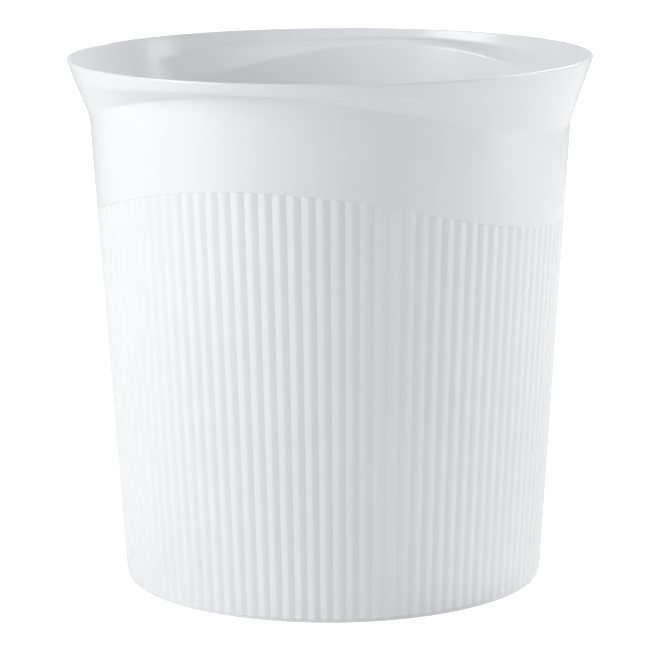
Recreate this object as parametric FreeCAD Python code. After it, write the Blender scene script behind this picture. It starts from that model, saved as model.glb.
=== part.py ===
import FreeCAD, Part
import math
import os

# A round open wastebasket of moulded plastic, in three pieces that follow its two visible seams.
#   smooth_tub     the vessel: flared rim, smooth band with wavy edges, inner wall and raised floor
#   ribbed_sleeve  a conical skin of fine upright ribs, pushed up the tub from below until its
#                  wavy top edge butts against the tub's wavy ledge
#   foot_ring      a flat ring under the sleeve that snaps into the tub's skirt and holds it all
# Frame: origin on the floor at the basket's axis, +Z up, crests of the waves at -Y and +Y.
# Angles run from -Y towards +X, so the crest at -Y is angle 0.

Vector = FreeCAD.Vector

# Driving dimensions, in millimetres and degrees.
HEIGHT = 292.0
RIM_RADIUS = 145.0
BASE_RADIUS = 116.8
TAPER = 0.0627                # radius gained per millimetre of height
WALL = 1.7
SLEEVE_WALL = 1.4
RIB_COUNT = 108
RIB_DEPTH = 0.55

# The two wavy lines: mean height, and how far each swings up and down.
CREASE_HEIGHT = 269.5
CREASE_SWING = 13.8
SEAM_HEIGHT = 218.8
SEAM_SWING = 15.0

# The flare above the crease: a ledge, flat at the waves' crests and steep at the troughs, then a
# straight cone.
LEDGE_RISE_CREST = 2.2
LEDGE_RISE_TROUGH = 22.0
LEDGE_REACH_CREST = 8.0
LEDGE_REACH_TROUGH = 7.5
CREASE_RUN_IN = 3.0           # how far below the crease the flare's outline starts
CREASE_BEND_CREST = 0.4       # how far from the corner each rounding starts
CREASE_BEND_TROUGH = 1.6
LEDGE_BEND = 2.0

# Fits and edges.
SLIDE_GAP = 0.1               # between walls that slide past each other
BUTT_GAP = 0.15               # between the sleeve's ends and what they rest against
SEAM_BEVEL = 0.3
SLEEVE_FOOT_BEVEL = 0.5

# Floor and the jog that takes the inner wall in behind the sleeve, measured above the seam.
FLOOR_UNDERSIDE = 7.0
FLOOR_TOP = 9.0
FLOOR_FILLET = 6.0
JOG_START = 2.0
JOG_END = 9.0
FLOOR_RIB_COUNT = 12
FLOOR_RIB_WALL = 1.2
FLOOR_RIB_BOTTOM = 3.6
FLOOR_RIB_END = 108.0
HUB_RADIUS = 14.0
GATE_RADIUS = 2.5
GATE_DROP = 0.6

# Foot ring.
FOOT_HEIGHT = 1.6
FOOT_SETBACK = 0.5            # ring's edge inside the rib crests
FOOT_EDGE_BEVEL = 0.4
FOOT_FLANGE_WIDTH = 12.0
COLLAR_WALL = 1.6
COLLAR_TOP = 6.2
CATCH_COUNT = 6
CATCH_ANGLE = 7.0
CATCH_DEPTH = 0.9
CATCH_LOW = 3.3
CATCH_HIGH = 5.0
WINDOW_MARGIN = 0.3

# What follows from them.
RECESS = SLEEVE_WALL + SLIDE_GAP
SKIRT_FOOT = FOOT_HEIGHT + BUTT_GAP
LIP_ROUND = WALL / 2

# How finely curves are drawn.
RING_POINTS = 72
BEND_STEPS = 4
LIP_STEPS = 6


def wall_radius(height):
    """Outer radius of the straight cone at a height."""
    return BASE_RADIUS + TAPER * height


def crease_height(angle):
    """Height of the upper wavy line, where the flare leaves the cone."""
    return CREASE_HEIGHT + CREASE_SWING * math.cos(2 * angle)


def seam_height(angle):
    """Height of the lower wavy line, where the smooth band meets the ribs."""
    return SEAM_HEIGHT + SEAM_SWING * math.cos(2 * angle)


def between(trough, crest, angle):
    """A size that swings with the waves, from its trough value to its crest value."""
    return trough + (crest - trough) * (1 + math.cos(2 * angle)) / 2


def unit(vector):
    """The direction of an (r, z) pair."""
    length = math.hypot(vector[0], vector[1])
    return vector[0] / length, vector[1] / length


def bend(before, corner, after, setback):
    """Points of a smooth curve that rounds a corner of an (r, z) outline within a setback."""
    inward = unit((corner[0] - before[0], corner[1] - before[1]))
    outward = unit((after[0] - corner[0], after[1] - corner[1]))
    points = []
    for step in range(BEND_STEPS + 1):
        share = step / BEND_STEPS
        back = setback * (1 - share) ** 2
        ahead = setback * share ** 2
        points.append((corner[0] - inward[0] * back + outward[0] * ahead,
                       corner[1] - inward[1] * back + outward[1] * ahead))
    return points


def half_round(start, centre):
    """Points of a half circle about a centre, from just after start to its opposite point."""
    spoke = (start[0] - centre[0], start[1] - centre[1])
    points = []
    for step in range(1, LIP_STEPS + 1):
        swept = math.pi * step / LIP_STEPS
        points.append((centre[0] + spoke[0] * math.cos(swept) - spoke[1] * math.sin(swept),
                       centre[1] + spoke[0] * math.sin(swept) + spoke[1] * math.cos(swept)))
    return points


def inner_face(outer):
    """The points one wall thickness inside each point of an outer outline."""
    inner = []
    for before, point, after in zip(outer, outer[1:], outer[2:]):
        along = unit((after[0] - before[0], after[1] - before[1]))
        inner.append((point[0] - along[1] * WALL, point[1] + along[0] * WALL))
    return inner


def rim_outline(angle):
    """The (r, z) points of the flare: up its outer face, over the lip and down its inner face."""
    low = crease_height(angle)
    below = (wall_radius(low - CREASE_RUN_IN), low - CREASE_RUN_IN)
    crease = (wall_radius(low), low)
    reach = between(LEDGE_REACH_TROUGH, LEDGE_REACH_CREST, angle)
    rise = between(LEDGE_RISE_TROUGH, LEDGE_RISE_CREST, angle)
    ledge = (crease[0] + reach, low + rise)
    lip_centre = (RIM_RADIUS - LIP_ROUND, HEIGHT - LIP_ROUND)
    lean = unit((lip_centre[0] - ledge[0], lip_centre[1] - ledge[1]))
    lip = (lip_centre[0] + lean[1] * LIP_ROUND, lip_centre[1] - lean[0] * LIP_ROUND)
    crease_bend = between(CREASE_BEND_TROUGH, CREASE_BEND_CREST, angle)
    bends = bend(below, crease, ledge, crease_bend) + bend(crease, ledge, lip, LEDGE_BEND)
    inner = inner_face([below] + bends + [lip])
    return bends + [lip] + half_round(lip, lip_centre) + inner[::-1]


def tub_outline(angle):
    """The tub's whole cross-section at one angle, from the floor's underside to its top."""
    seam = seam_height(angle)
    skirt_outer = wall_radius(SKIRT_FOOT) - RECESS
    skirt_inner = skirt_outer - WALL
    outline = [(skirt_inner, FLOOR_UNDERSIDE), (skirt_inner, SKIRT_FOOT), (skirt_outer, SKIRT_FOOT),
               (wall_radius(seam) - RECESS, seam), (wall_radius(seam) - SEAM_BEVEL, seam),
               (wall_radius(seam + SEAM_BEVEL), seam + SEAM_BEVEL)]
    outline += rim_outline(angle)
    outline.append((wall_radius(seam + JOG_END) - WALL, seam + JOG_END))
    outline.append((wall_radius(seam + JOG_START) - RECESS - WALL, seam + JOG_START))
    fillet_top = FLOOR_TOP + FLOOR_FILLET
    floor_wall = wall_radius(fillet_top) - RECESS - WALL
    for step in range(BEND_STEPS + 1):
        swept = math.pi / 2 * step / BEND_STEPS
        outline.append((floor_wall - FLOOR_FILLET * (1 - math.cos(swept)),
                        fillet_top - FLOOR_FILLET * math.sin(swept)))
    return outline


def sleeve_envelope(angle):
    """The space that the sleeve is cut to: wavy and bevelled above, flat and bevelled below."""
    top = seam_height(angle) - BUTT_GAP
    clear = RIM_RADIUS - wall_radius(top) + SEAM_BEVEL
    foot_clear = RIM_RADIUS - wall_radius(SKIRT_FOOT) + SLEEVE_FOOT_BEVEL
    return [(BASE_RADIUS / 2, SEAM_HEIGHT), (BASE_RADIUS, top),
            (wall_radius(top) - SEAM_BEVEL, top), (RIM_RADIUS, top - clear),
            (RIM_RADIUS, SKIRT_FOOT + foot_clear), (wall_radius(SKIRT_FOOT) - SLEEVE_FOOT_BEVEL, SKIRT_FOOT)]


def round_point(radius, angle, height):
    """A point at a radius, an angle from -Y towards +X, and a height."""
    return Vector(radius * math.sin(angle), -radius * math.cos(angle), height)


def ring(points):
    """A smooth closed edge through points that go once round the axis."""
    curve = Part.BSplineCurve()
    curve.interpolate(Points=points, PeriodicFlag=True)
    return curve.toShape()


def solid_from(faces):
    """One solid from the faces that close it."""
    shell = Part.makeShell(faces)
    shell.sewShape()
    solid = Part.makeSolid(shell)
    if solid.Volume < 0:
        solid.reverse()
    return solid


def swept_outline(outline_at):
    """A solid whose cross-section at each angle is outline_at(angle), closed by two flat discs."""
    angles = [2 * math.pi * step / RING_POINTS for step in range(RING_POINTS)]
    outlines = [outline_at(angle) for angle in angles]
    rings = []
    for level in zip(*outlines):
        rings.append(ring([round_point(r, angle, z) for angle, (r, z) in zip(angles, level)]))
    faces = [Part.Face(Part.Wire([rings[0]])), Part.Face(Part.Wire([rings[-1]]))]
    for lower, upper in zip(rings, rings[1:]):
        faces.append(Part.makeRuledSurface(lower, upper))
    return solid_from(faces)


def revolved(outline, degrees=360.0, start=0.0):
    """A closed (r, z) outline turned about the axis, starting at an angle from -Y towards +X."""
    corners = [round_point(radius, math.radians(start), height) for radius, height in outline]
    face = Part.Face(Part.makePolygon(corners + corners[:1]))
    return face.revolve(Vector(0, 0, 0), Vector(0, 0, 1), degrees)


def spread(shape_at, count):
    """The shapes made by shape_at(degrees) at even steps round the axis."""
    return [shape_at(360.0 * index / count) for index in range(count)]


def collar_radius():
    """Outer radius of the foot ring's collar, just inside the tub's skirt."""
    return wall_radius(SKIRT_FOOT) - RECESS - WALL - SLIDE_GAP


def skirt_windows():
    """The spaces cut from the skirt for the foot ring's catches."""
    face = collar_radius()
    low = CATCH_LOW - WINDOW_MARGIN
    high = CATCH_HIGH + WINDOW_MARGIN
    outline = [(face - WALL, low), (face + 2 * WALL, low), (face + 2 * WALL, high), (face - WALL, high)]
    width = CATCH_ANGLE + math.degrees(2 * WINDOW_MARGIN / face)
    return spread(lambda degrees: revolved(outline, width, degrees - width / 2), CATCH_COUNT)


def floor_ribs():
    """Radial ribs, a hub and a gate mark under the floor, as one solid that reaches into it."""
    base = Vector(0, 0, FLOOR_RIB_BOTTOM)
    depth = (FLOOR_UNDERSIDE + FLOOR_TOP) / 2 - FLOOR_RIB_BOTTOM
    hub = Part.makeCylinder(HUB_RADIUS, depth, base)
    hollow = Part.makeCylinder(HUB_RADIUS - FLOOR_RIB_WALL, depth, base)
    gate_base = Vector(0, 0, FLOOR_UNDERSIDE - GATE_DROP)
    gate = Part.makeCylinder(GATE_RADIUS, FLOOR_TOP - FLOOR_UNDERSIDE, gate_base)

    def rib(degrees):
        corner = Vector(HUB_RADIUS - FLOOR_RIB_WALL / 2, -FLOOR_RIB_WALL / 2, FLOOR_RIB_BOTTOM)
        bar = Part.makeBox(FLOOR_RIB_END - corner.x, FLOOR_RIB_WALL, depth, corner)
        bar.rotate(Vector(0, 0, 0), Vector(0, 0, 1), degrees)
        return bar

    return hub.cut(hollow).multiFuse(spread(rib, FLOOR_RIB_COUNT) + [gate])


def smooth_tub():
    """The vessel with its flare, wavy band, recessed wall, floor and skirt."""
    vessel = swept_outline(tub_outline)
    return vessel.fuse(floor_ribs()).cut(Part.makeCompound(skirt_windows()))


def faceted_cone(inset, rib_depth, high):
    """A solid cone with a flat facet for each side of each rib, folded into ribs by rib_depth."""
    def corners_at(height):
        points = []
        for step in range(2 * RIB_COUNT):
            radius = wall_radius(height) - inset
            if step % 2:
                radius *= 1 - rib_depth / BASE_RADIUS
            points.append(round_point(radius, math.pi * step / RIB_COUNT, height))
        return points

    bottom = corners_at(0)
    top = corners_at(high)
    faces = [Part.Face(Part.makePolygon(bottom + bottom[:1])), Part.Face(Part.makePolygon(top + top[:1]))]
    for index in range(len(bottom)):
        following = (index + 1) % len(bottom)
        corners = [bottom[index], bottom[following], top[following], top[index], bottom[index]]
        faces.append(Part.Face(Part.makePolygon(corners)))
    return solid_from(faces)


def ribbed_sleeve():
    """The ribbed skin: a folded cone, cut to the wavy seam and hollowed by a plain one."""
    body = faceted_cone(0, RIB_DEPTH, SEAM_HEIGHT + SEAM_SWING + BUTT_GAP)
    hollow = faceted_cone(SLEEVE_WALL, 0, HEIGHT)
    return body.common(swept_outline(sleeve_envelope)).cut(hollow)


def foot_ring():
    """The ring the basket stands on, with a collar and catches that snap into the skirt."""
    edge = BASE_RADIUS - FOOT_SETBACK
    inner = edge - FOOT_FLANGE_WIDTH
    face = collar_radius()
    back = face - COLLAR_WALL
    outline = [(inner, 0), (edge - FOOT_EDGE_BEVEL, 0), (edge, FOOT_EDGE_BEVEL), (edge, FOOT_HEIGHT),
               (face, FOOT_HEIGHT), (face, COLLAR_TOP), (back, COLLAR_TOP), (back, FOOT_HEIGHT),
               (inner, FOOT_HEIGHT)]
    barb = [(back, CATCH_LOW), (face + CATCH_DEPTH, CATCH_LOW),
            (face + CATCH_DEPTH, (2 * CATCH_LOW + CATCH_HIGH) / 3), (face, CATCH_HIGH), (back, CATCH_HIGH)]
    catches = spread(lambda degrees: revolved(barb, CATCH_ANGLE, degrees - CATCH_ANGLE / 2), CATCH_COUNT)
    return revolved(outline).multiFuse(catches)


def export(name, shape):
    """Write one piece as parts/NAME.step and print what it measures."""
    solid = shape.Solids[0]
    solid.exportStep(os.path.join("parts", name + ".step"))
    print(name, "valid", solid.isValid(), "solids", len(shape.Solids), "volume %.0f mm3" % solid.Volume)


os.makedirs("parts", exist_ok=True)
export("smooth_tub", smooth_tub())
export("ribbed_sleeve", ribbed_sleeve())
export("foot_ring", foot_ring())
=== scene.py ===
"""A round open wastebasket of glossy moulded plastic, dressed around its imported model.

The basket has three pieces: a smooth tub with a flared rim, a skin of fine upright ribs and a
foot ring. Both edges of the tub's smooth band run in a wave with two crests and two troughs.
Everything is in metres, +Z up, with the basket's axis on Z. Angles run from -Y towards +X.
"""
import logging
import math
from collections.abc import Callable, Mapping
from dataclasses import dataclass
from enum import Enum
from functools import lru_cache
from typing import Any

import bmesh
import bpy
from mathutils import Matrix, Vector


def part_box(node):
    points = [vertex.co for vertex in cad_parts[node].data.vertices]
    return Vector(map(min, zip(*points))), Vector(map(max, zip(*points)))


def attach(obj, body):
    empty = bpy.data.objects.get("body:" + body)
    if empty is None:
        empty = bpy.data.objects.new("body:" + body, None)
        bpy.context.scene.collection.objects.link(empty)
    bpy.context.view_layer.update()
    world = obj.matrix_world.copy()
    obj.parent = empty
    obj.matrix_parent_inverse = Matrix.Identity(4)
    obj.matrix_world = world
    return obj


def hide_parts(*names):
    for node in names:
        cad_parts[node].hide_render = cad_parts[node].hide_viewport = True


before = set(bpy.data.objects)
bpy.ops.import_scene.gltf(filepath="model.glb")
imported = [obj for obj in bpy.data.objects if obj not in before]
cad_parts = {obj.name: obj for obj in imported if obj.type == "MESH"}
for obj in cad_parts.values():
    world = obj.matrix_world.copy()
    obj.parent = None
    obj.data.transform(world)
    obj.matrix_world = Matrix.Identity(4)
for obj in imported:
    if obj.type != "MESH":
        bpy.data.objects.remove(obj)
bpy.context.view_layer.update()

MM = 0.001
BODY = "root"
LEVEL_LAYER = "outline_level"
MERGE_DISTANCE = 0.001 * MM
ANGLE_DIGITS = 6                        # places kept of an angle in radians
FOOT_SETBACK = 0.5 * MM                 # how far the foot ring's edge lies inside the ribs
WHITE = "#ffffff"

Point = tuple[float, float]
Outline = list[Point]

log = logging.getLogger("wastebasket")


class Node(Enum):
    """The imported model's pieces that the visual pieces stand for."""

    TUB = "smooth_tub"
    SLEEVE = "ribbed_sleeve"
    FOOT = "foot_ring"


def linear_colour(hex_code: str) -> tuple[float, float, float, float]:
    """Turns an sRGB hex colour into Blender's linear colour.

    Args:
        hex_code: Six hex digits after a hash mark, such as "#f4f5f6".

    Returns:
        Red, green, blue and alpha, each from 0 to 1.
    """
    channels = []
    for start in (1, 3, 5):
        value = int(hex_code[start:start + 2], 16) / 255
        channels.append(value / 12.92 if value <= 0.04045 else ((value + 0.055) / 1.055) ** 2.4)
    return channels[0], channels[1], channels[2], 1.0


def add_node(tree: bpy.types.NodeTree, kind: str, inputs: Mapping[str | int, Any],
             **settings: Any) -> bpy.types.Node:
    """Adds one node with its settings, values and links.

    Args:
        tree: The node tree that gets the node.
        kind: The node's type name.
        inputs: For each input, by name or number, a value or the output socket that feeds it.
        **settings: The node's own properties.

    Returns:
        The new node.
    """
    node = tree.nodes.new(kind)
    for name, value in settings.items():
        setattr(node, name, value)
    for name, value in inputs.items():
        if isinstance(value, bpy.types.NodeSocket):
            tree.links.new(value, node.inputs[name])
        else:
            node.inputs[name].default_value = value
    return node


@dataclass(frozen=True)
class MouldedPlastic:
    """Injection-moulded polypropylene, coloured through.

    A polished tool leaves it smooth and glossy, so the eye gets clear soft reflections that are
    broken only by a faint waviness, a little unevenness in the gloss, and fine dulling by wear.
    """

    name: str
    slot: str
    pale: str = "#f3f3f3"
    deep: str = "#eeeeee"
    roughness: float = 0.2
    roughness_swing: float = 0.05
    ior: float = 1.49
    cloud_size: float = 45 * MM
    ripple_size: float = 9 * MM
    ripple_height: float = 0.004 * MM
    grain_size: float = 1.2 * MM       # drawn coarser than the tool's real polish, so that it shows
    grain_height: float = 0.0006 * MM
    wear_height: float = 14 * MM
    wear_roughness: float = 0.16

    def material(self) -> bpy.types.Material:
        """Builds the finish as a node material.

        Returns:
            The material, ready for a mesh.
        """
        material = bpy.data.materials.new(self.name)
        material.use_nodes = True
        tree = material.node_tree
        tree.nodes.clear()
        place = add_node(tree, "ShaderNodeTexCoord", {}).outputs["Object"]
        clouds = self._noise(tree, place, self.cloud_size, detail=3.0)
        colour = add_node(tree, "ShaderNodeMix", {
            "Factor": clouds, "A": linear_colour(self.deep), "B": linear_colour(self.pale),
        }, data_type="RGBA")
        shader = add_node(tree, "ShaderNodeBsdfPrincipled", {
            "Base Color": colour.outputs["Result"],
            "Roughness": self._roughness(tree, place, clouds),
            "Normal": self._surface(tree, place),
            "IOR": self.ior,
        })
        add_node(tree, "ShaderNodeOutputMaterial", {"Surface": shader.outputs["BSDF"]})
        return material

    def _noise(self, tree: bpy.types.NodeTree, place: bpy.types.NodeSocket, size: float,
               detail: float) -> bpy.types.NodeSocket:
        """Adds noise whose lumps are about one size across.

        Args:
            tree: The material's node tree.
            place: The coordinates that the noise follows.
            size: The lumps' size in metres.
            detail: How many finer layers are added.

        Returns:
            The noise's value, from 0 to 1.
        """
        noise = add_node(tree, "ShaderNodeTexNoise", {
            "Vector": place, "Scale": 1 / size, "Detail": detail,
        })
        return noise.outputs["Fac"]

    def _roughness(self, tree: bpy.types.NodeTree, place: bpy.types.NodeSocket,
                   clouds: bpy.types.NodeSocket) -> bpy.types.NodeSocket:
        """Lets the gloss vary in clouds, and dulls it in patches near the floor.

        Args:
            tree: The material's node tree.
            place: The coordinates that the wear follows.
            clouds: The broad noise that the gloss follows.

        Returns:
            The roughness.
        """
        uneven = add_node(tree, "ShaderNodeMapRange", {
            "Value": clouds,
            "To Min": self.roughness - self.roughness_swing / 2,
            "To Max": self.roughness + self.roughness_swing / 2,
        })
        height = add_node(tree, "ShaderNodeSeparateXYZ", {"Vector": place}).outputs["Z"]
        low = add_node(tree, "ShaderNodeMapRange", {
            "Value": height, "From Min": 0.0, "From Max": self.wear_height,
            "To Min": self.wear_roughness, "To Max": 0.0,
        }, interpolation_type="SMOOTHSTEP")
        patches = self._noise(tree, place, self.ripple_size, detail=6.0)
        worn = add_node(tree, "ShaderNodeMath", {
            0: low.outputs["Result"], 1: patches,
        }, operation="MULTIPLY")
        total = add_node(tree, "ShaderNodeMath", {
            0: uneven.outputs["Result"], 1: worn.outputs["Value"],
        }, operation="ADD")
        return total.outputs["Value"]

    def _surface(self, tree: bpy.types.NodeTree, place: bpy.types.NodeSocket) -> bpy.types.NodeSocket:
        """Gives the wall its faint moulded waviness and the tool's grain.

        Args:
            tree: The material's node tree.
            place: The coordinates that the bumps follow.

        Returns:
            The bumped normal.
        """
        ripple = add_node(tree, "ShaderNodeBump", {
            "Height": self._noise(tree, place, self.ripple_size, detail=0.0),
            "Distance": self.ripple_height,
        })
        grain = add_node(tree, "ShaderNodeBump", {
            "Height": self._noise(tree, place, self.grain_size, detail=2.0),
            "Distance": self.grain_height,
            "Normal": ripple.outputs["Normal"],
        })
        return grain.outputs["Normal"]


@dataclass(frozen=True)
class BasketForm:
    """The shape that the three pieces share: a cone, a flared rim and two wavy lines round it."""

    height: float
    rim_radius: float
    base_radius: float
    seam_crest: float
    taper: float = 0.0627
    wall: float = 1.7 * MM
    sleeve_wall: float = 1.4 * MM
    slide_gap: float = 0.1 * MM
    butt_gap: float = 0.15 * MM
    seam_gap: float = 0.02 * MM         # the seam is drawn tighter than the fit, as a hairline
    foot_height: float = 1.6 * MM
    seam_swing: float = 15.0 * MM
    crease_drop: float = 22.5 * MM      # mean height of the crease below the rim
    crease_swing: float = 13.8 * MM

    @classmethod
    def from_frame(cls) -> "BasketForm":
        """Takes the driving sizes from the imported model's boxes.

        Returns:
            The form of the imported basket.
        """
        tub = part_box(Node.TUB.value)[1]
        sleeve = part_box(Node.SLEEVE.value)[1]
        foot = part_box(Node.FOOT.value)[1]
        return cls(height=tub.z, rim_radius=tub.y, base_radius=foot.y + FOOT_SETBACK,
                   seam_crest=sleeve.z)

    @property
    def recess(self) -> float:
        """How far the tub's wall is set back behind the sleeve."""
        return self.sleeve_wall + self.slide_gap

    @property
    def skirt_foot(self) -> float:
        """Height of the lower ends of the skirt and the sleeve."""
        return self.foot_height + self.butt_gap

    def radius(self, height: float) -> float:
        """Outer radius of the straight cone at a height."""
        return self.base_radius + self.taper * height

    def seam(self, angle: float) -> float:
        """Height of the lower wavy line, where the ribs end, at an angle."""
        return self.seam_crest + self.seam_gap + self.seam_swing * (math.cos(2 * angle) - 1)

    def crease(self, angle: float) -> float:
        """Height of the upper wavy line, where the flare leaves the cone, at an angle."""
        return self.height - self.crease_drop + self.crease_swing * math.cos(2 * angle)

    def between(self, trough: float, crest: float, angle: float) -> float:
        """A size that swings with the waves, from its trough value to its crest value."""
        return trough + (crest - trough) * (1 + math.cos(2 * angle)) / 2


def direction(start: Point, end: Point) -> Point:
    """The unit direction from one (r, z) point to another."""
    length = math.hypot(end[0] - start[0], end[1] - start[1])
    return (end[0] - start[0]) / length, (end[1] - start[1]) / length


def bend(before: Point, corner: Point, after: Point, setback: float, steps: int) -> Outline:
    """Rounds a corner of an outline.

    Args:
        before: A point on the line into the corner.
        corner: The corner.
        after: A point on the line out of the corner.
        setback: How far from the corner the rounding starts and ends.
        steps: Number of spans in the curve.

    Returns:
        The curve's points, one more than steps.
    """
    inward = direction(before, corner)
    outward = direction(corner, after)
    points = []
    for step in range(steps + 1):
        share = step / steps
        back = setback * (1 - share) ** 2
        ahead = setback * share ** 2
        points.append((corner[0] - inward[0] * back + outward[0] * ahead,
                       corner[1] - inward[1] * back + outward[1] * ahead))
    return points


def arc(start: Point, centre: Point, sweep: float, steps: int) -> Outline:
    """Points of an arc about a centre.

    Args:
        start: Where the arc starts; this point isn't in the result.
        centre: The arc's centre.
        sweep: Angle turned, in radians, counter-clockwise in the (r, z) plane.
        steps: Number of spans in the arc.

    Returns:
        The arc's points after its start, as many as steps.
    """
    spoke = (start[0] - centre[0], start[1] - centre[1])
    points = []
    for step in range(1, steps + 1):
        turn = sweep * step / steps
        points.append((centre[0] + spoke[0] * math.cos(turn) - spoke[1] * math.sin(turn),
                       centre[1] + spoke[0] * math.sin(turn) + spoke[1] * math.cos(turn)))
    return points


def run(start: Point, end: Point, steps: int) -> Outline:
    """Evenly spaced points strictly between two ends of a straight line."""
    shares = [step / steps for step in range(1, steps)]
    return [(start[0] + (end[0] - start[0]) * share, start[1] + (end[1] - start[1]) * share)
            for share in shares]


def spin_outline(outline_at: Callable[[float], Outline], columns: int, closed: bool,
                 column_angle: Callable[[float], float] | None = None) -> bmesh.types.BMesh:
    """Spins an outline round the axis, then lets each column take its own outline.

    Args:
        outline_at: The (r, z) outline at an angle, with as many points at every angle.
        columns: Number of columns in the full turn.
        closed: Whether the outline's last point joins its first.
        column_angle: Where an evenly spaced column's angle moves to, if it moves.

    Returns:
        The surface, with its doubles merged and its faces pointing outwards.
    """
    surface = bmesh.new()
    level_of = surface.verts.layers.int.new(LEVEL_LAYER)
    chain = []
    for level, (radius, height) in enumerate(outline_at(0.0)):
        vertex = surface.verts.new((0.0, -radius, height))
        vertex[level_of] = level
        chain.append(vertex)
    for lower, upper in zip(chain, chain[1:]):
        surface.edges.new((lower, upper))
    if closed:
        surface.edges.new((chain[-1], chain[0]))
    bmesh.ops.spin(surface, geom=surface.verts[:] + surface.edges[:], cent=(0, 0, 0), axis=(0, 0, 1),
                   dvec=(0, 0, 0), angle=math.tau, steps=columns, use_merge=True)
    outline = lru_cache(maxsize=None)(outline_at)
    for vertex in surface.verts:
        angle = round(math.atan2(vertex.co.x, -vertex.co.y), ANGLE_DIGITS)
        if column_angle:
            angle = column_angle(angle)
        radius, height = outline(angle)[vertex[level_of]]
        vertex.co = (radius * math.sin(angle), -radius * math.cos(angle), height)
    bmesh.ops.remove_doubles(surface, verts=surface.verts[:], dist=MERGE_DISTANCE)
    bmesh.ops.recalc_face_normals(surface, faces=surface.faces[:])
    return surface


@dataclass
class Piece:
    """What the basket's three pieces have in common: a form, a finish and a place in the frame."""

    form: BasketForm
    finish: MouldedPlastic
    crisp_angle: float = math.radians(30)       # edges that turn by more than this stay crisp

    def dress(self, surface: bmesh.types.BMesh, node: Node) -> bpy.types.Object:
        """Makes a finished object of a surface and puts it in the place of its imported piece.

        Args:
            surface: The finished mesh data, which is freed.
            node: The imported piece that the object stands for.

        Returns:
            The object.
        """
        mesh = bpy.data.meshes.new(node.value + "_shell")
        surface.to_mesh(mesh)
        surface.free()
        mesh.attributes.remove(mesh.attributes[LEVEL_LAYER])
        mesh.materials.append(self.finish.material())
        mesh.shade_smooth()
        mesh.set_sharp_from_angle(angle=self.crisp_angle)
        shell = bpy.data.objects.new(node.value + "_shell", mesh)
        bpy.context.scene.collection.objects.link(shell)
        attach(shell, BODY)
        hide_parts(node.value)
        log.info("%s: %d faces", shell.name, len(mesh.polygons))
        return shell


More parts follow.
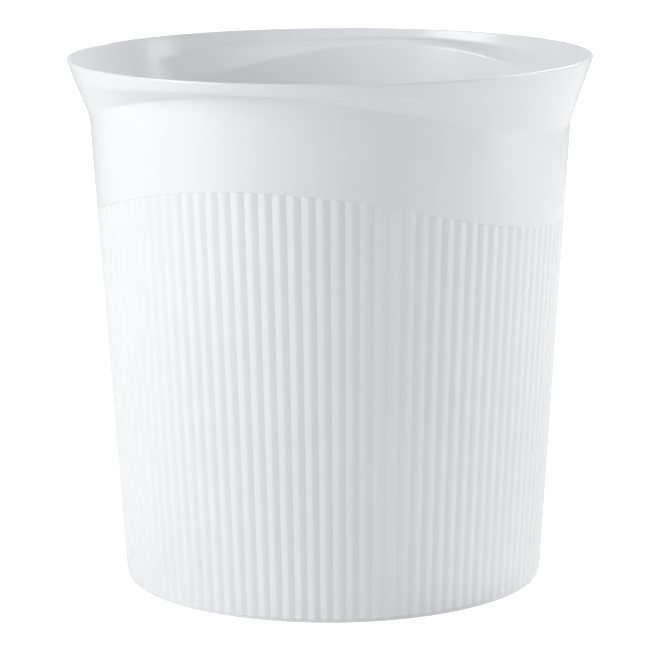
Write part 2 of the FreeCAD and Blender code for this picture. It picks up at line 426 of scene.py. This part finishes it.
@dataclass
class SmoothTub(Piece):
    """The vessel: flared rim, wavy smooth band, inner wall, raised floor and skirt."""

    columns: int = 360
    seam_bevel: float = 0.05 * MM
    crease_run_in: float = 3.0 * MM     # how far below the crease the flare's outline starts
    ledge_rise_crest: float = 2.2 * MM
    ledge_rise_trough: float = 22.0 * MM
    ledge_reach_crest: float = 8.0 * MM
    ledge_reach_trough: float = 7.5 * MM
    crease_bend_crest: float = 0.4 * MM
    crease_bend_trough: float = 1.6 * MM
    ledge_bend: float = 2.0 * MM
    floor_underside: float = 7.0 * MM
    floor_top: float = 9.0 * MM
    floor_fillet: float = 6.0 * MM
    jog_start: float = 2.0 * MM
    jog_end: float = 9.0 * MM
    jog_bend: float = 1.2 * MM
    lip_steps: int = 10
    bend_steps: int = 8
    wall_steps: int = 4
    window_count: int = 6
    window_span: float = math.radians(7.3)
    window_low: float = 3.0 * MM
    window_high: float = 5.3 * MM
    rib_count: int = 12
    rib_wall: float = 1.2 * MM
    rib_bottom: float = 3.6 * MM
    rib_end: float = 108.0 * MM
    hub_radius: float = 14.0 * MM
    gate_radius: float = 2.5 * MM
    gate_drop: float = 0.6 * MM
    hub_columns: int = 48

    def rim(self, angle: float) -> Outline:
        """The flare at an angle: up its outer face, over the lip and down its inner face.

        Args:
            angle: The angle from -Y towards +X.

        Returns:
            The outline's points.
        """
        form = self.form
        low = form.crease(angle)
        below = (form.radius(low - self.crease_run_in), low - self.crease_run_in)
        crease = (form.radius(low), low)
        reach = form.between(self.ledge_reach_trough, self.ledge_reach_crest, angle)
        rise = form.between(self.ledge_rise_trough, self.ledge_rise_crest, angle)
        ledge = (crease[0] + reach, low + rise)
        lip_round = form.wall / 2
        centre = (form.rim_radius - lip_round, form.height - lip_round)
        lean = direction(ledge, centre)
        lip = (centre[0] + lean[1] * lip_round, centre[1] - lean[0] * lip_round)
        crease_bend = form.between(self.crease_bend_trough, self.crease_bend_crest, angle)
        outer = bend(below, crease, ledge, crease_bend, self.bend_steps)
        outer += bend(crease, ledge, lip, self.ledge_bend, self.bend_steps)
        outer += run(outer[-1], lip, self.wall_steps) + [lip]
        return outer + arc(lip, centre, math.pi, self.lip_steps) + self.inside([below] + outer)[::-1]

    def inside(self, outer: Outline) -> Outline:
        """The points one wall thickness inside an outer outline, without its first and last."""
        inner = []
        for before, point, after in zip(outer, outer[1:], outer[2:]):
            along = direction(before, after)
            inner.append((point[0] - along[1] * self.form.wall, point[1] + along[0] * self.form.wall))
        return inner

    def outer_wall(self, seam: float) -> Outline:
        """The outer face below the flare: skirt, set-back wall, ledge for the sleeve and its bevel.

        Args:
            seam: Height of the wavy seam here.

        Returns:
            The outline from the floor's underside to just above the seam.
        """
        form = self.form
        skirt_outer = form.radius(form.skirt_foot) - form.recess
        skirt_inner = skirt_outer - form.wall
        set_back = (form.radius(seam) - form.recess, seam)
        points = [(0.0, self.floor_underside), (skirt_inner, self.floor_underside)]
        points += [(skirt_inner, self.window_high), (skirt_inner, self.window_low)]
        points += [(skirt_inner, form.skirt_foot), (skirt_outer, form.skirt_foot)]
        for height in (self.window_low, self.window_high):
            points.append((form.radius(height) - form.recess, height))
        points += run(points[-1], set_back, self.wall_steps) + [set_back]
        points.append((form.radius(seam) - self.seam_bevel, seam))
        points.append((form.radius(seam + self.seam_bevel), seam + self.seam_bevel))
        return points

    def inner_wall(self, seam: float, top: Point) -> Outline:
        """The inner face below the flare: the jog behind the sleeve, the wall, the fillet and the floor.

        Args:
            seam: Height of the wavy seam here.
            top: The flare's lowest inner point.

        Returns:
            The outline from just above the jog to the middle of the floor.
        """
        form = self.form
        jog_top = (form.radius(seam + self.jog_end) - form.wall, seam + self.jog_end)
        jog_foot = (form.radius(seam + self.jog_start) - form.recess - form.wall, seam + self.jog_start)
        fillet_top = self.floor_top + self.floor_fillet
        wall_foot = (form.radius(fillet_top) - form.recess - form.wall, fillet_top)
        points = bend(top, jog_top, jog_foot, self.jog_bend, self.bend_steps // 2)
        points += bend(jog_top, jog_foot, wall_foot, self.jog_bend, self.bend_steps // 2)
        points += run(points[-1], wall_foot, self.wall_steps) + [wall_foot]
        fillet_centre = (wall_foot[0] - self.floor_fillet, fillet_top)
        points += arc(wall_foot, fillet_centre, -math.pi / 2, self.bend_steps)
        return points + [(0.0, self.floor_top)]

    def outline(self, angle: float) -> Outline:
        """The tub's whole cross-section at an angle, from the floor's underside to its top."""
        seam = self.form.seam(angle)
        rim = self.rim(angle)
        return self.outer_wall(seam) + rim + self.inner_wall(seam, rim[-1])

    def cut_windows(self, surface: bmesh.types.BMesh) -> None:
        """Opens the skirt's windows and closes each one's four sides.

        Args:
            surface: The tub's surface.
        """
        level_of = surface.verts.layers.int[LEVEL_LAYER]
        pitch = math.tau / self.window_count
        # Where outer_wall has the windows' edges, on the skirt's inner and outer faces.
        window_levels = ({2, 3}, {6, 7})
        for face in surface.faces[:]:
            levels = {vertex[level_of] for vertex in face.verts}
            middle = face.calc_center_median()
            offset = (math.atan2(middle.x, -middle.y) + pitch / 2) % pitch - pitch / 2
            face.tag = levels in window_levels and abs(offset) < self.window_span / 2
        bmesh.ops.delete(surface, geom=[face for face in surface.faces if face.tag], context="FACES")
        rims = [edge for edge in surface.edges if edge.is_boundary]
        near = math.cos(pitch / 2)
        for index in range(self.window_count):
            spoke = Vector((math.sin(index * pitch), -math.cos(index * pitch)))
            sill = [edge for edge in rims if edge.verts[0].co.xy.normalized().dot(spoke) > near]
            bmesh.ops.bridge_loops(surface, edges=sill)

    def add_floor_ribs(self, surface: bmesh.types.BMesh) -> None:
        """Adds the radial ribs, the hub and the gate mark under the floor.

        Args:
            surface: The tub's surface.
        """
        buried = (self.floor_underside + self.floor_top) / 2
        depth = buried - self.rib_bottom
        start = self.hub_radius - self.rib_wall / 2
        middle = Vector(((start + self.rib_end) / 2, 0.0, self.rib_bottom + depth / 2))
        shape = Matrix.Diagonal((self.rib_end - start, self.rib_wall, depth, 1.0))
        for index in range(self.rib_count):
            turn = Matrix.Rotation(math.tau * index / self.rib_count, 4, "Z")
            bmesh.ops.create_cube(surface, size=1.0, matrix=turn @ Matrix.Translation(middle) @ shape)
        hub_inner = self.hub_radius - self.rib_wall
        hub = [(self.hub_radius, self.rib_bottom), (self.hub_radius, buried),
               (hub_inner, buried), (hub_inner, self.rib_bottom)]
        gate_bottom = self.floor_underside - self.gate_drop
        gate = [(0.0, gate_bottom), (self.gate_radius, gate_bottom),
                (self.gate_radius, buried), (0.0, buried)]
        for ring in (hub, gate):
            part = spin_outline(lambda angle, ring=ring: ring, columns=self.hub_columns, closed=ring is hub)
            mesh = bpy.data.meshes.new("under_floor_part")
            part.to_mesh(mesh)
            part.free()
            surface.from_mesh(mesh)
            bpy.data.meshes.remove(mesh)

    def build(self) -> bpy.types.Object:
        """Builds and dresses the tub.

        Returns:
            The tub's object.
        """
        surface = spin_outline(self.outline, self.columns, closed=False)
        self.cut_windows(surface)
        self.add_floor_ribs(surface)
        return self.dress(surface, Node.TUB)


@dataclass
class RibbedSleeve(Piece):
    """The skin of upright ribs, with a wavy upper edge."""

    crisp_angle: float = math.radians(11)
    rib_count: int = 108
    rib_depth: float = 0.7 * MM         # before the crests are rounded, as the next size is
    proud: float = 0.2 * MM             # how far the crests would stand out from the smooth band
    crest_round: float = 0.12           # share of a rib's pitch, each side of its crest
    top_bevel: float = 0.25 * MM
    foot_bevel: float = 0.5 * MM
    wall_steps: int = 3
    # Where a rib's columns stand across its pitch, from one crest to the next.
    stations: tuple[float, ...] = (0.0, 0.06, 0.12, 0.31, 0.5, 0.69, 0.88, 0.94)

    def station(self, angle: float) -> float:
        """Moves an evenly spaced column to its station on its rib.

        Args:
            angle: The column's even angle.

        Returns:
            The angle it moves to.
        """
        column = round(angle / math.tau * self.rib_count * len(self.stations))
        rib, place = divmod(column, len(self.stations))
        return round((rib + self.stations[place]) * math.tau / self.rib_count, ANGLE_DIGITS)

    def depth(self, angle: float) -> float:
        """How far the ribbed face lies inside its unrounded crests: flat sides, rounded crests."""
        share = angle / math.tau * self.rib_count % 1.0
        aside = min(share, 1.0 - share)
        if aside < self.crest_round:
            return self.rib_depth * (aside ** 2 / self.crest_round + self.crest_round)
        return self.rib_depth * 2 * aside

    def outline(self, angle: float) -> Outline:
        """The sleeve's closed cross-section at an angle, up the ribbed face and down the back."""
        form = self.form
        depth = self.depth(angle)
        top = form.seam(angle) - form.seam_gap
        foot = form.skirt_foot
        crest_top = form.radius(top) + self.proud
        crest_foot = form.radius(foot) + self.proud
        foot_bevel = (crest_foot - depth, foot + self.foot_bevel - min(depth, self.foot_bevel))
        top_bevel = (crest_top - depth, top - self.top_bevel + min(depth, self.top_bevel))
        back_top = (form.radius(top) - form.sleeve_wall, top)
        back_foot = (form.radius(foot) - form.sleeve_wall, foot)
        face = [foot_bevel] + run(foot_bevel, top_bevel, self.wall_steps) + [top_bevel]
        back = [back_top] + run(back_top, back_foot, self.wall_steps) + [back_foot]
        top_edge = (crest_top - max(depth, self.top_bevel), top)
        foot_edge = (crest_foot - max(depth, self.foot_bevel), foot)
        return face + [top_edge] + back + [foot_edge]

    def build(self) -> bpy.types.Object:
        """Builds and dresses the sleeve.

        Returns:
            The sleeve's object.
        """
        columns = self.rib_count * len(self.stations)
        surface = spin_outline(self.outline, columns, closed=True, column_angle=self.station)
        return self.dress(surface, Node.SLEEVE)


@dataclass
class FootRing(Piece):
    """The ring that the basket stands on, with a collar and catches that hold it in the skirt."""

    columns: int = 360
    setback: float = FOOT_SETBACK
    edge_round: float = 0.4 * MM
    edge_steps: int = 4
    flange_width: float = 12.0 * MM
    collar_wall: float = 1.6 * MM
    collar_top: float = 6.2 * MM
    catch_count: int = 6
    catch_span: float = math.radians(7.0)
    catch_depth: float = 0.9 * MM
    catch_low: float = 3.3 * MM
    catch_high: float = 5.0 * MM
    catch_upright: float = 1 / 3        # share of a catch's height below its slope

    def outline(self, angle: float) -> Outline:
        """The ring's closed cross-section at an angle, with a catch where one stands."""
        form = self.form
        edge = form.base_radius - self.setback
        inner = edge - self.flange_width
        face = form.radius(form.skirt_foot) - form.recess - form.wall - form.slide_gap
        back = face - self.collar_wall
        pitch = math.tau / self.catch_count
        offset = abs((angle + pitch / 2) % pitch - pitch / 2)
        reach = self.catch_depth if offset < self.catch_span / 2 else 0.0
        slope_foot = self.catch_low + (self.catch_high - self.catch_low) * self.catch_upright
        # A catch's lower side is a hair off level, so that the outline's points don't merge.
        below_catch = self.catch_low - MERGE_DISTANCE * 2
        low_centre = (edge - self.edge_round, self.edge_round)
        outline = [(inner, 0.0), (edge - self.edge_round, 0.0)]
        outline += arc(outline[-1], low_centre, math.pi / 2, self.edge_steps)
        outline += [(edge, form.foot_height), (face, form.foot_height), (face, below_catch)]
        outline += [(face + reach, self.catch_low), (face + reach, slope_foot), (face, self.catch_high)]
        outline += [(face, self.collar_top), (back, self.collar_top), (back, form.foot_height)]
        return outline + [(inner, form.foot_height)]

    def build(self) -> bpy.types.Object:
        """Builds and dresses the foot ring.

        Returns:
            The ring's object.
        """
        surface = spin_outline(self.outline, self.columns, closed=True)
        return self.dress(surface, Node.FOOT)


@dataclass(frozen=True)
class SoftLight:
    """A large rectangular softbox that faces the basket."""

    name: str
    azimuth: float          # degrees from the camera's side, positive to its right
    distance: float
    height: float
    width: float
    length: float
    power: float

    def place(self, heading: float, target: Vector) -> None:
        """Adds the light to the scene.

        Args:
            heading: The camera's azimuth, in degrees.
            target: The point that the light faces.
        """
        light = bpy.data.lights.new(self.name, "AREA")
        light.shape = "RECTANGLE"
        light.size = self.width
        light.size_y = self.length
        light.energy = self.power
        lamp = bpy.data.objects.new(self.name, light)
        turn = math.radians(self.azimuth + heading)
        place = Vector((self.distance * math.sin(turn), -self.distance * math.cos(turn), self.height))
        lamp.matrix_world = Matrix.LocRotScale(place, (place - target).to_track_quat("Z", "Y"), None)
        bpy.context.scene.collection.objects.link(lamp)


@dataclass(frozen=True)
class Studio:
    """A plain white floor, dim air light, four softboxes and a camera above the rim.

    The floor is two sheets in one plane: a white one that only the camera sees, and a light grey
    one, hidden from the camera, that sends a softer light back up to the basket.
    """

    form: BasketForm
    heading: float = 18.5               # camera's azimuth from -Y towards +X, in degrees
    distance: float = 1781.5 * MM       # from the basket's axis, along the floor
    eye_height: float = 484.1 * MM
    down_tilt: float = math.radians(10.945)
    roll: float = math.radians(-0.41)
    lens_mm: float = 179.2
    sensor_mm: float = 36.0
    side_shift: float = -0.0105
    floor_size: float = 12.0
    floor_roughness: float = 0.9
    seen_floor_glow: float = 1.0
    lit_floor_colour: str = "#e1e1e1"
    lit_floor_glow: float = 0.13
    air_colour: str = "#f6f8ff"
    side_air_light: float = 0.24        # from the sides and above
    end_air_light: float = 0.71         # from in front of the basket and behind it
    lights: tuple[SoftLight, ...] = (
        SoftLight("left_softbox", azimuth=-60, distance=1.5, height=0.4,
                  width=0.6, length=1.2, power=6.8),
        SoftLight("right_softbox", azimuth=90, distance=1.5, height=0.4,
                  width=0.6, length=1.2, power=10.3),
        SoftLight("high_left_softbox", azimuth=-75, distance=1.2, height=1.1,
                  width=0.7, length=0.7, power=8.2),
        SoftLight("high_back_softbox", azimuth=150, distance=1.2, height=1.1,
                  width=0.7, length=0.7, power=11.0),
    )

    def build(self) -> None:
        """Builds the floor, the surrounding light, the softboxes and the camera."""
        seen = self.lay_floor("seen_floor", WHITE, self.seen_floor_glow)
        seen.visible_diffuse = False
        seen.visible_glossy = False
        seen.visible_shadow = False
        lit = self.lay_floor("lit_floor", self.lit_floor_colour, self.lit_floor_glow)
        lit.visible_camera = False
        self.light_air()
        target = Vector((0.0, 0.0, self.form.height / 2))
        for light in self.lights:
            light.place(self.heading, target)
        self.place_camera()
        bpy.context.scene.view_settings.view_transform = "Standard"

    def lay_floor(self, name: str, colour: str, glow: float) -> bpy.types.Object:
        """Lays one wide sheet of floor that is lit from below, as a light table is.

        Args:
            name: The sheet's name.
            colour: The sheet's hex colour.
            glow: How strongly it glows.

        Returns:
            The sheet.
        """
        surface = bmesh.new()
        bmesh.ops.create_grid(surface, x_segments=1, y_segments=1, size=self.floor_size / 2)
        mesh = bpy.data.meshes.new(name)
        surface.to_mesh(mesh)
        surface.free()
        material = bpy.data.materials.new(name + "_paint")
        material.use_nodes = True
        shader = material.node_tree.nodes["Principled BSDF"]
        shader.inputs["Base Color"].default_value = linear_colour(colour)
        shader.inputs["Roughness"].default_value = self.floor_roughness
        shader.inputs["Specular IOR Level"].default_value = 0.0
        shader.inputs["Emission Color"].default_value = linear_colour(WHITE)
        shader.inputs["Emission Strength"].default_value = glow
        mesh.materials.append(material)
        floor = bpy.data.objects.new(name, mesh)
        bpy.context.scene.collection.objects.link(floor)
        return floor

    def light_air(self) -> None:
        """Surrounds the scene with soft light, strongest in front of the basket and behind it."""
        world = bpy.data.worlds.new("light_tent")
        world.use_nodes = True
        tree = world.node_tree
        turn = math.radians(self.heading)
        front = (math.sin(turn), -math.cos(turn), 0.0)
        way = add_node(tree, "ShaderNodeTexCoord", {}).outputs["Generated"]
        along = add_node(tree, "ShaderNodeVectorMath", {0: way, 1: front}, operation="DOT_PRODUCT")
        share = along.outputs["Value"]
        squared = add_node(tree, "ShaderNodeMath", {0: share, 1: share}, operation="MULTIPLY")
        strength = add_node(tree, "ShaderNodeMapRange", {
            "Value": squared.outputs["Value"],
            "To Min": self.side_air_light,
            "To Max": self.end_air_light,
        })
        air = tree.nodes["Background"]
        air.inputs["Color"].default_value = linear_colour(self.air_colour)
        tree.links.new(strength.outputs["Result"], air.inputs["Strength"])
        bpy.context.scene.world = world

    def place_camera(self) -> None:
        """Places the camera and makes it the scene's own."""
        data = bpy.data.cameras.new("camera")
        data.sensor_width = self.sensor_mm
        data.lens = self.lens_mm
        data.shift_x = self.side_shift
        camera = bpy.data.objects.new("camera", data)
        turn = math.radians(self.heading)
        place = Vector((self.distance * math.sin(turn), -self.distance * math.cos(turn),
                        self.eye_height))
        aim = (Matrix.Rotation(turn, 4, "Z") @ Matrix.Rotation(math.pi / 2 - self.down_tilt, 4, "X")
               @ Matrix.Rotation(self.roll, 4, "Z"))
        camera.matrix_world = Matrix.Translation(place) @ aim
        bpy.context.scene.collection.objects.link(camera)
        bpy.context.scene.camera = camera


def main() -> None:
    """Builds the studio and the basket's pieces in order."""
    logging.basicConfig(level=logging.INFO, format="%(message)s")
    form = BasketForm.from_frame()
    Studio(form).build()
    SmoothTub(form, MouldedPlastic("white_polypropylene_moulded_glossy", "tub_plastic")).build()
    RibbedSleeve(form, MouldedPlastic("white_polypropylene_moulded_ribbed", "sleeve_plastic")).build()
    satin = MouldedPlastic("white_polypropylene_moulded_satin", "foot_plastic", roughness=0.38)
    FootRing(form, satin).build()


if __name__ == "__main__":
    main()
